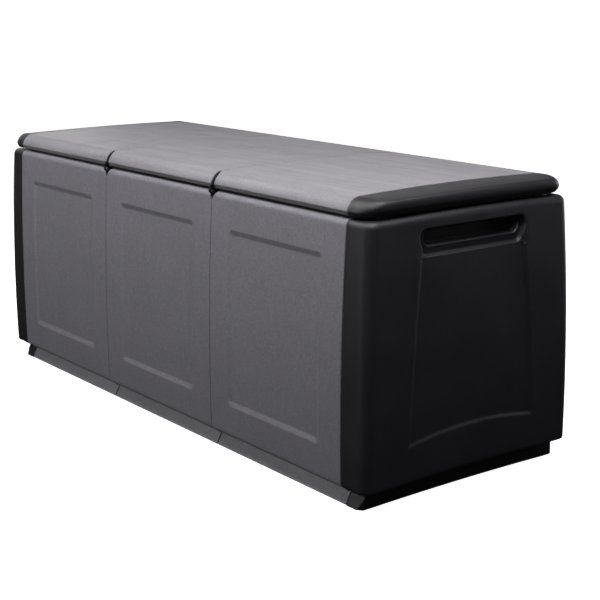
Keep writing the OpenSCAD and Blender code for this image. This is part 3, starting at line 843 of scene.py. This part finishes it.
def plinth_cap(side):
    """Plinth cap in one shell: plinth with a cut front corner, shelf and deck, from the ground up."""
    shelf_x, shelf_y = HALF_L - SHELF_END_INSET, HALF_D - SHELF_INSET
    deck_x = HALF_L - lean(WALL_BOTTOM, END_LEAN) - END_T - DECK_PLAY
    deck_y = face_y(WALL_BOTTOM) - WALL_T - DECK_PLAY
    low = WALL_BOTTOM - SHELF_T
    stack = [(plan_outline(PLINTH_X - 25, PLINTH_Y - 6, PLINTH_BACK_Y - 6, (2.0, 2.0), 2.0), 0.0)]
    for z, inner in ((0.0, 1.2), (0.35, 0.4), (1.2, 0.0), (5.0, 0.0), (10.0, 0.0), (15.0, 0.0),
                     (PLINTH_CUT_H, 0.0), (PLINTH_SLOPE_H - 1, 0.0), (PLINTH_SLOPE_H, 0.3), (low, 0.3)):
        slope = PLINTH_SLOPE * min(z / PLINTH_SLOPE_H, 1.0)
        cut = max(1 - z / PLINTH_CUT_H, 0.12)
        stack.append((plan_outline(PLINTH_X - inner, PLINTH_Y - slope - inner, PLINTH_BACK_Y - inner,
                                   (PLINTH_CUT_X * cut, PLINTH_CUT_Y * cut), PLINTH_BACK_R), z))
    for z, inner in ((low, 0.8), (low + 0.3, 0.2), (low + 1, 0.0), (WALL_BOTTOM - 1, 0.0),
                     (WALL_BOTTOM, 0.8)):
        stack.append((plan_outline(shelf_x - inner, shelf_y - inner, PLINTH_BACK_Y - inner,
                                   SHELF_CUT, SHELF_BACK_R), z))
    for z, inner in ((WALL_BOTTOM, 0.0), (WALL_BOTTOM + DECK_STEP - 1.5, 0.0),
                     (WALL_BOTTOM + DECK_STEP, 1.5)):
        stack.append((plan_outline(deck_x - inner, deck_y - inner, deck_y - inner,
                                   (INNER_CORNER_R, INNER_CORNER_R), INNER_CORNER_R), z))
    points, faces = upright(stack)
    reach = np.clip((points[:, 0] - PLINTH_X + 8) / 7.0, 0, 1)
    reach = reach * np.clip(1 - points[:, 2] / PLINTH_CUT_H, 0, 1)
    points[:, 2] += PLINTH_ARCH * dome(points[:, 1], PLINTH_Y - 25) * reach
    return [turned((points, faces), side), turned(clip_stud(), side)]


def clip_stud():
    """Small round stud on the plinth's end face."""
    rings = []
    for r, out in ((3.2, -0.5), (3.2, 0.7), (2.7, 1.3), (1.4, 1.5), (1.1, 0.6), (0.4, 0.5)):
        rings.append(at_x(PLINTH_X + out, disc(r, STUD_COUNT + 1)[:-1] + [STUD_Y, STUD_Z]))
    return loft(rings)


# ---------- lid ----------

def lid_section():
    """The lid's surface from front to back: y, z, the direction of its normal, and y on the underside."""
    lower = [(LID_Y - LID_UNDERCUT, LID_BOTTOM), (LID_Y - LID_UNDERCUT + 0.7, LID_BOTTOM + 0.5),
             (LID_Y - 0.9, LID_EDGE_Z - 1.6), (LID_Y - 0.25, LID_EDGE_Z - 0.6), (LID_Y, LID_EDGE_Z + 0.3)]
    nose = []
    for degrees in (8, 16, 25, 34, 43, 52, 60, 68, 75, 81, NOSE_END):
        nose.append(nose_point(math.radians(degrees)))
    flat = stations(0, (LID_Y - LID_UNDERCUT - LID_RIM - 14, 14), (LID_Y - LID_UNDERCUT - LID_RIM + 6, 2.2),
                    (LID_Y - LID_NOSE, 6))[::-1]
    front_y = np.array([p[0] for p in lower + nose] + list(flat))
    front_z = np.array([p[1] for p in lower + nose] + list(crown_z(flat)))
    y = np.concatenate([-front_y, front_y[-2::-1]])
    z = np.concatenate([front_z, front_z[-2::-1]])
    count = len(lower) + len(nose)
    below = np.concatenate([np.linspace(LID_Y - LID_UNDERCUT - 0.4, LID_Y - LID_NOSE + 1.5, count), flat])
    below = np.concatenate([-below, below[-2::-1]])
    return y, z, normals(y, z), below


def underside_depth(x, y, half_x, half_y):
    """Height of the recess in the lid's underside."""
    across = ease((half_x - np.abs(x)) / LID_RECESS_BEVEL)
    return LID_RECESS_H * across * ease((half_y - np.abs(y)) / LID_RECESS_BEVEL)


def lid_panel(index):
    """Lid module as a block of its top and its underside, drawn back from the seam round the connector."""
    half = LID_MODULE_HALF
    hole = MODULE_L / 2 - LID_RIM
    inner = stations(0, (hole - 8, 14), (hole + 2, 1.6), (half - EDGE_R, 5))
    places, drop = with_round_ends(half, inner, EDGE_R)
    x = mirrored(places)[:, None]
    x_set = np.concatenate([drop[:0:-1], drop])[:, None]
    y, z, normal, below = lid_section()
    front = np.arange(len(y)) < LID_NOTCH_ROWS
    upper = LID_NOTCH * ease((LID_NOTCH_TOP - z) / LID_NOTCH_FADE)
    gap = np.where(z < LID_EDGE_Z + 1, LID_NOTCH_LOW, upper) * front
    squeeze = np.zeros((len(x), len(y)))
    for seam in (-1, 1):
        if abs(index + seam) <= 1:
            reach = np.clip(1 - (half - seam * x) / LID_NOTCH_REACH, 0, 1)
            squeeze -= seam * gap[None] * reach
    mid = index * MODULE_L
    top = np.stack([mid + x + squeeze, y - x_set * normal[0], z - x_set * normal[1]], -1)
    half_y = LID_Y - LID_UNDERCUT - LID_RIM
    recess = underside_depth(x, below[None], hole, half_y)
    under = np.stack([mid + x + squeeze, below + 0 * x, LID_BOTTOM + recess], -1)
    return block(np.stack([top, under], axis=2))


def cap_profile():
    """Nose of the lid's end cap from its lower edge to the ridge: (z, set-back) at front and end."""
    front = [(LID_BOTTOM, 3.5), (LID_BOTTOM + 0.6, 2.8), (LID_BOTTOM + 3.6, 1.5), (LID_EDGE_Z - 1.5, 0.45),
             (LID_EDGE_Z + 0.5, 0.0)]
    end = [(LID_BOTTOM, 9.0), (LID_BOTTOM + 0.8, 8.0), (LID_BOTTOM + 5.0, 4.6), (LID_BOTTOM + 9.5, 1.6),
           (LID_BOTTOM + 13.5, 0.3)]
    for degrees in stations(9, (90, 9)):
        a = math.radians(degrees)
        y, z = nose_point(a)
        front.append((z, LID_Y - y))
        end.append((LID_END_WIDEST_Z + (LID_RIDGE_Z - LID_END_WIDEST_Z) * math.sin(a),
                    LID_RIDGE_INSET * (1 - math.cos(a))))
    return np.array(front), np.array(end)


def seam_drop(x):
    """How far a rounded edge at the grey seam has come in at x."""
    t = np.clip((x - SEAM_EDGE_X) / EDGE_R, 0, 1)
    return EDGE_R * (1 - np.sqrt(np.clip(1 - (1 - t) ** 2, 0, 1)))


def lid_nose_grid():
    """Points of the end cap's nose, (round the cap) x (up the nose)."""
    front, end = cap_profile()
    start = SEAM_EDGE_X
    cx, cy = LID_X - LID_CORNER, LID_Y - LID_CORNER
    along, _ = quarter(EDGE_R, 4)
    straight = np.concatenate([start + EDGE_R - along[::-1], stations(start + EDGE_R, (cx, 3.5))[1:]])
    angles = np.radians(stations(0, (90, 6)))[1:]
    blend = ease(angles / (math.pi / 2))
    ends = stations(-cy, (cy, 11))[1:-1]
    rows = []
    for x in straight:
        rows.append(np.column_stack([np.full(len(front), x), -(LID_Y - front[:, 1]), front[:, 0]]))
    for a, b in zip(angles, blend):
        rx = LID_CORNER - end[:, 1]
        ry = LID_CORNER - front[:, 1]
        z = front[:, 0] * (1 - b) + ridge_height(end[:, 0], cy) * b
        rows.append(np.column_stack([cx + rx * math.sin(a), -(cy + ry * math.cos(a)), z]))
    half_count = len(rows)
    for y in ends:
        rows.append(np.column_stack([LID_X - end[:, 1], np.full(len(end), y), ridge_height(end[:, 0], y)]))
    mirror = [row * [1, -1, 1] for row in rows[:half_count][::-1]]
    return np.array(rows + mirror), half_count, len(straight)


def ridge_height(z, y):
    """The end's heights, a little lower towards the corners."""
    rise = np.clip((z - LID_BOTTOM) / (LID_RIDGE_Z - LID_BOTTOM), 0, 1)
    return z - LID_RIDGE_FALL * (y / LID_RIDGE_HALF) ** 2 * rise


def cap_fill(ring, corner, seam_line):
    """Grid that closes one side of the cap inside the ring; corner is the ring's place to split it at."""
    low = ring[:corner + 1]
    right = ring[corner:len(ring) - corner]
    high = ring[len(ring) - corner - 1:][::-1]
    return coons(low, high, seam_line(len(right)), right)


def lid_end_cap(side):
    """Lid's end cap: nose round three sides, sloping top, recessed underside and the face at the seam."""
    nose, half_count, straight = lid_nose_grid()
    corner = straight + (half_count - straight) // 2
    start = SEAM_EDGE_X

    def top_seam(count):
        y = np.linspace(-1, 1, count) * abs(nose[0, -1, 1])
        return np.column_stack([np.full(count, start), y, crown_z(y)])

    def under_seam(count):
        y = np.linspace(-1, 1, count) * abs(nose[0, 0, 1])
        return np.column_stack([np.full(count, start), y, np.full(count, LID_BOTTOM)])

    top = cap_fill(nose[:, -1], corner, top_seam)
    under = cap_fill(nose[:, 0], corner, under_seam)
    mid_x = (start + 12 + LID_X - LID_RIM + 10) / 2
    half_x = (LID_X - LID_RIM + 10 - start - 12) / 2
    under[..., 2] += underside_depth(under[..., 0] - mid_x, under[..., 1], half_x, LID_Y - LID_RIM)
    round_seam(top, nose)
    ids = np.arange(nose[..., 0].size).reshape(nose.shape[:2])
    top_ids = np.arange(top[..., 0].size).reshape(top.shape[:2]) + ids.size
    under_ids = np.arange(under[..., 0].size).reshape(under.shape[:2]) + ids.size + top_ids.size
    face = list(ids[0]) + list(top_ids[0, 1:]) + list(ids[-1, ::-1][1:]) + list(under_ids[0, ::-1][1:-1])
    faces = grid_faces(ids) + grid_faces(top_ids) + grid_faces(under_ids) + [face]
    points = np.concatenate([nose.reshape(-1, 3), top.reshape(-1, 3), under.reshape(-1, 3)])
    return [turned((points, [[int(i) for i in f] for f in faces]), side)]


def round_seam(top, nose):
    """Rounds the cap's edge at the grey seam, along its top and down its nose."""
    top[..., 2] -= seam_drop(top[..., 0])
    drop = seam_drop(nose[..., 0])
    rise = np.clip((nose[..., 2] - LID_EDGE_Z) / (LID_NOSE_Z - LID_EDGE_Z), 0, 1)
    nose[..., 2] -= drop * rise
    nose[..., 1] -= np.sign(nose[..., 1]) * drop * np.sqrt(1 - rise ** 2)


# ---------- connectors ----------

def eye_part(x_low, root_angle, root_reach):
    """Padlock eye: a flat plate with a round hole, drawn out towards its root."""
    angle = np.linspace(0, 2 * math.pi, EYE_COUNT + 1)[:-1]
    swing = np.abs((angle - math.radians(root_angle) + math.pi) % (2 * math.pi) - math.pi)
    outer = EYE_R + root_reach * ease(1 - swing / math.radians(62))
    edge = ((EYE_SOFT, 0.0), (0.1, 0.12), (0.0, EYE_SOFT))
    rim = [(outer - back, x) for back, x in edge] + [(outer - back, EYE_T - x) for back, x in edge[::-1]]
    hole = [(EYE_HOLE_R + back, EYE_T - x) for back, x in edge]
    hole += [(EYE_HOLE_R + back, x) for back, x in edge[::-1]]
    rings = []
    for radius, x in rim + hole:
        around = np.column_stack([EYE_Y + radius * np.cos(angle), EYE_Z + radius * np.sin(angle)])
        rings.append(at_x(x_low + x, around))
    return loft(rings, closed_path=True)


def strip_outline(half_w, low, high, soft):
    """Rounded cross-section of a strip: (across, depth)."""
    return rounded_rect(0.0, (low + high) / 2, half_w, (high - low) / 2, soft, 3)


def wall_connector(seam, side):
    """Strip behind a wall seam; on the front it carries the box's padlock eye."""
    x = seam * SEAM_X
    section = strip_outline(STRIP_W / 2, STRIP_OUT, STRIP_OUT + STRIP_T, 0.8)
    rings = []
    for z in stations(WALL_BOTTOM, (WALL_TOP - 2, 20)):
        depth = face_y(z) - section[:, 1]
        rings.append(np.column_stack([x + section[:, 0], side * depth, np.full(len(section), z)]))
    parts = [loft(rings)]
    if side < 0:
        parts.append(eye_part(x + EYE_SIDE, -65, 9.0))
    return parts


def lid_curve(inset):
    """The lid's section at a set-back, front edge to back edge, as (y, z) with normals."""
    ny, nz = nose_point(np.radians(stations(0, (NOSE_END, LID_CURVE_STEP))), inset)
    flat = stations(0, (LID_Y - LID_NOSE, 14))[::-1]
    y = np.concatenate([[LID_Y - inset - 0.4], ny, flat])
    z = np.concatenate([[LID_BOTTOM + 0.5], nz, crown_z(flat) - inset])
    return np.concatenate([-y, y[-2::-1]]), np.concatenate([z, z[-2::-1]])


def lid_connector(seam):
    """Ribbed strip that shows in the lid's seam and ends in the lid's padlock eye."""
    x = seam * SEAM_X
    y, z = lid_curve(LID_STRIP_OUT + LID_STRIP_T / 2)
    normal = normals(y, z)
    section = strip_outline(LID_STRIP_W / 2, -LID_STRIP_T / 2, LID_STRIP_T / 2, 0.5)
    rings = []
    for i in range(len(y)):
        rib = 0.0 if i % 2 else 0.5
        depth = np.where(section[:, 1] < 0, section[:, 1] + rib, section[:, 1])
        rings.append(np.column_stack([x + section[:, 0], y[i] - depth * normal[0, i],
                                      z[i] - depth * normal[1, i]]))
    return [loft(rings), eye_part(x - EYE_SIDE - EYE_T, 84, 6.5)]


# ---------- hinges ----------

def prism(outline, places):
    """Loft of an outline along x; places are (x, inset) pairs that soften its ends."""
    middle = (outline.max(0) + outline.min(0)) / 2
    rings = []
    for x, shrink in places:
        away = outline - middle
        span = np.abs(away).max(0)
        ring = middle + away * (1 - shrink / span)
        rings.append(at_x(x, ring))
    return loft(rings)


def soft_run(low, high, soft):
    """Places along x with softened ends."""
    return ((low, soft), (low + 0.3 * soft, 0.3 * soft), (low + soft, 0.0),
            (high - soft, 0.0), (high - 0.3 * soft, 0.3 * soft), (high, soft))


def hinge_bracket(index):
    """Bracket: a screwed plate that steps back under the lid, and two cheeks round the pin."""
    x = index * MODULE_L
    low = HINGE_Z - BRACKET_H
    back = HINGE_Y + PLATE_OUT
    plate = filleted([(face_y(low) + 0.1, low, 0.4), (back, low, 2.5), (back, HINGE_Z - 18, 3.0),
                      (HINGE_Y - 4, HINGE_Z - 12, 1.0), (face_y(SHOULDER_Z) + 0.1, HINGE_Z - 13, 0.4)])
    parts = [prism(plate, soft_run(x - BRACKET_W / 2, x + BRACKET_W / 2, 0.8))]
    knuckle = disc(KNUCKLE_R, 25, -20, 200) + [HINGE_Y, HINGE_Z]
    web = np.concatenate([knuckle, filleted([(HINGE_Y - KNUCKLE_R + 0.4, HINGE_Z - 16, 1.0),
                                             (back - 0.2, HINGE_Z - 18, 1.0)], closed=False)])
    for side in (-1, 1):
        mid = x + side * (ARM_W / 2 + CHEEK_GAP + CHEEK_W / 2)
        parts.append(prism(web, soft_run(mid - CHEEK_W / 2, mid + CHEEK_W / 2, 0.6)))
    return parts


def hinge_arm(index):
    """Arm under the lid with its barrel round the pin."""
    x = index * MODULE_L
    plate = filleted([(ARM_FRONT, ARM_BOTTOM, 1.2), (HINGE_Y - 4.5, ARM_BOTTOM, 0.5),
                      (HINGE_Y - 4.5, ARM_TOP - 0.5, 0.5), (ARM_FRONT, ARM_TOP - 0.05, 1.2)])
    barrel = disc(KNUCKLE_R, 41)[:-1] + [HINGE_Y, HINGE_Z]
    return [prism(plate, soft_run(x - ARM_W / 2, x + ARM_W / 2, 0.6)),
            prism(barrel, soft_run(x - ARM_W / 2, x + ARM_W / 2, 0.7))]


def hinge_pin(index):
    """Steel pin with chamfered ends."""
    outline = disc(PIN_R, 33)[:-1] + [HINGE_Y, HINGE_Z]
    x = index * MODULE_L
    return [prism(outline, soft_run(x - BRACKET_W / 2, x + BRACKET_W / 2, 0.5))]


def screw(place, axis_y, axis_z):
    """Pan head with a cross recess, standing along -axis from place."""
    angle = np.linspace(0, 2 * math.pi, SCREW_COUNT + 1)[:-1]
    arm = np.abs(np.sin(2 * angle))
    rings = []
    for r, h in ((2.0, 0.0), (4.0, 0.0), (4.0, 0.7), (3.8, 1.25), (3.2, 1.75), (2.6, 1.95)):
        rings.append((np.full(SCREW_COUNT, r), h))
    rings.append((1.9 - 1.25 * arm, 2.0))
    rings.append((1.7 - 1.2 * arm, 1.1))
    rings.append((np.full(SCREW_COUNT, 0.25), 0.8))
    across = np.array([1.0, 0.0, 0.0])
    along = np.array([0.0, axis_y, axis_z])
    second = np.cross(along, across)
    shells = []
    for radius, height in rings:
        local = np.column_stack([radius * np.cos(angle), radius * np.sin(angle)])
        shells.append(np.array(place) + local[:, :1] * across + local[:, 1:] * second - along * height)
    return loft(shells)


def bracket_screw_parts():
    """All the screws of the wall brackets."""
    return [screw((index * MODULE_L + sx * SCREW_X, HINGE_Y + PLATE_OUT, HINGE_Z - drop), -1.0, 0.0)
            for index in (-1, 0, 1) for sx in (-1, 1) for drop in SCREW_DROPS]


def arm_screw_parts():
    """All the screws of the lid's arms."""
    return [screw((index * MODULE_L, ARM_FRONT + step, ARM_BOTTOM), 0.0, 1.0)
            for index in (-1, 0, 1) for step in ARM_SCREW_STEPS]


# ---------- the object ----------

NAMES = {-1: "left", 0: "centre", 1: "right"}


def pieces(word, *rows):
    """Makes one piece from each row: name, parts, body, the node it replaces, slot (not used) and material.
    """
    for name, parts, body, node, slot, material in rows:
        piece(f"{name}_{word}", parts, body, [f"{node}_{word}"], material)


for i, word in NAMES.items():
    pieces(
        word,
        ("front_wall", [wall_panel(i, -1)], "box", "front_panel", "grey_plastic", GREY_WALL),
        ("back_wall", [wall_panel(i, 1)], "box", "back_panel", "grey_plastic", GREY_WALL),
        ("floor_module", [floor_panel(i)], "box", "floor", "grey_plastic", GREY_FLOOR_PAINTED_BOUNCE),
        ("lid_module", [lid_panel(i)], "lid", "lid_panel", "grey_lid", GREY_LID),
        ("bracket", hinge_bracket(i), "box", "hinge_bracket", "black_plastic", BLACK),
        ("arm", hinge_arm(i), "lid", "hinge_arm", "black_plastic", BLACK),
        ("pin", hinge_pin(i), "box", "hinge_pin", "steel", STEEL),
    )

for s, word in ((-1, "left"), (1, "right")):
    pieces(
        word,
        ("end_shell", end_wall(s), "box", "end_wall", "black_plastic", BLACK),
        ("plinth_end", plinth_cap(s), "box", "plinth_cap", "black_plastic", BLACK),
        ("lid_cap", lid_end_cap(s), "lid", "lid_end_cap", "black_plastic", BLACK),
        ("front_strip", wall_connector(s, -1), "box", "front_connector", "black_plastic", BLACK_STRIP),
        ("back_strip", wall_connector(s, 1), "box", "back_connector", "black_plastic", BLACK_STRIP),
        ("lid_strip", lid_connector(s), "lid", "lid_connector", "black_plastic", BLACK_STRIP),
    )

piece("wall_screws", bracket_screw_parts(), "box", ["bracket_screws"], STEEL)
piece("lid_screws", arm_screw_parts(), "lid", ["arm_screws"], STEEL)


# ---------- stage ----------

CAMERA_AT = (2.3900, -1.6702, 0.9178)
CAMERA_YAW = 53.107
CAMERA_PITCH = -13.38
CAMERA_ROLL = -0.462
CAMERA_LENS = 81.3
CAMERA_SENSOR = 36.0

BACKDROP_R = 9.0
FLOOR_GLOW = 1.0
WALL_GLOW = 1.6
SURROUND_LOW = 0.02
SURROUND_HIGH = 0.04
SURROUND_BLEND = 0.12

# name, place, point it faces, width, height in metres, and watts
LIGHTS = (
    ("front_strip", (0.0, -0.70, 1.45), (0.0, -0.26, 0.45), 3.0, 0.35, 26.5),
    ("top_right", (1.0, -0.5, 1.8), (0.4, 0.0, 0.5), 1.2, 1.0, 5.5),
    ("back_high", (-2.3, 2.0, 2.0), (0.2, 0.0, 0.5), 2.4, 1.6, 7.9),
    ("end_side", (1.25, 0.1, 2.0), (0.72, 0.0, 0.45), 1.0, 0.8, 30.0),
    ("front_left", (-1.2, -2.6, 1.3), (-0.2, -0.2, 0.3), 2.0, 1.2, 22.7),
    ("front_low", (0.3, -2.8, 0.35), (0.0, -0.25, 0.05), 2.4, 0.4, 4.5),
    ("back_fill", (0.4, 2.8, 0.6), (0.0, 0.25, 0.30), 2.4, 0.8, 16.0),
    ("left_fill", (-2.7, 0.4, 0.7), (-0.69, 0.0, 0.30), 1.2, 1.0, 9.0),
)


def make_camera():
    """Camera at the photograph's place and angle."""
    yaw, pitch, roll = (math.radians(a) for a in (CAMERA_YAW, CAMERA_PITCH, CAMERA_ROLL))
    ahead = Vector((-math.sin(yaw) * math.cos(pitch), math.cos(yaw) * math.cos(pitch), math.sin(pitch)))
    right = Vector((math.cos(yaw), math.sin(yaw), 0.0))
    up = right.cross(ahead)
    turned_right = math.cos(roll) * right + math.sin(roll) * up
    turned_up = -math.sin(roll) * right + math.cos(roll) * up
    axes = Matrix((turned_right, turned_up, -ahead)).transposed().to_4x4()
    data = bpy.data.cameras.new("camera")
    data.lens = CAMERA_LENS
    data.sensor_width = CAMERA_SENSOR
    camera = bpy.data.objects.new("camera", data)
    camera.matrix_world = Matrix.Translation(CAMERA_AT) @ axes
    bpy.context.scene.collection.objects.link(camera)
    bpy.context.scene.camera = camera


def softbox(name, at, aim, width, height, power):
    """Soft rectangular light that faces a point."""
    data = bpy.data.lights.new(name, "AREA")
    data.shape = "RECTANGLE"
    data.size, data.size_y = width, height
    data.energy = power
    light = bpy.data.objects.new(name, data)
    light.location = at
    light.rotation_euler = (Vector(aim) - Vector(at)).to_track_quat("-Z", "Y").to_euler()
    light.visible_camera = False
    bpy.context.scene.collection.objects.link(light)


def make_backdrop():
    """Pale floor that sweeps up into a round wall; only the camera sees it, so it throws no light back."""
    sweep = np.radians(np.linspace(0, 90, 13))
    half = BACKDROP_R / 2
    radius = np.concatenate([[0.0, 2.0, 4.0], half + half * np.sin(sweep), [BACKDROP_R]])
    height = np.concatenate([[0.0] * 3, half * (1 - np.cos(sweep)), [2 * BACKDROP_R]])
    shape = bmesh.new()
    profile = [shape.verts.new((r, 0.0, h)) for r, h in zip(radius, height)]
    edges = [shape.edges.new(pair) for pair in zip(profile, profile[1:])]
    bmesh.ops.spin(shape, geom=profile + edges, cent=(0, 0, 0), axis=(0, 0, 1), angle=2 * math.pi, steps=72,
                   use_merge=True)
    bmesh.ops.remove_doubles(shape, verts=shape.verts, dist=1e-5)
    bmesh.ops.recalc_face_normals(shape, faces=shape.faces)
    bmesh.ops.reverse_faces(shape, faces=shape.faces)
    floor = smooth_object("studio_floor", shape, backdrop_paint("backdrop_paint"))
    floor.visible_diffuse = False
    floor.visible_glossy = False
    floor.visible_shadow = False


def make_surround():
    """Even light from above the horizon and less from below it."""
    world = bpy.data.worlds.new("surround")
    n = Nodes(world, "Background", "Generated")
    n.feed(n.shader.inputs["Color"], (1.0, 1.0, 1.0, 1.0))
    level = n.mapped(n.height(), -SURROUND_BLEND, SURROUND_BLEND, SURROUND_LOW, SURROUND_HIGH, "SMOOTHSTEP")
    n.feed(n.shader.inputs["Strength"], level)
    bpy.context.scene.world = world


make_camera()
make_backdrop()
make_surround()
for light in LIGHTS:
    softbox(*light)
bpy.context.scene.view_settings.view_transform = "Standard"
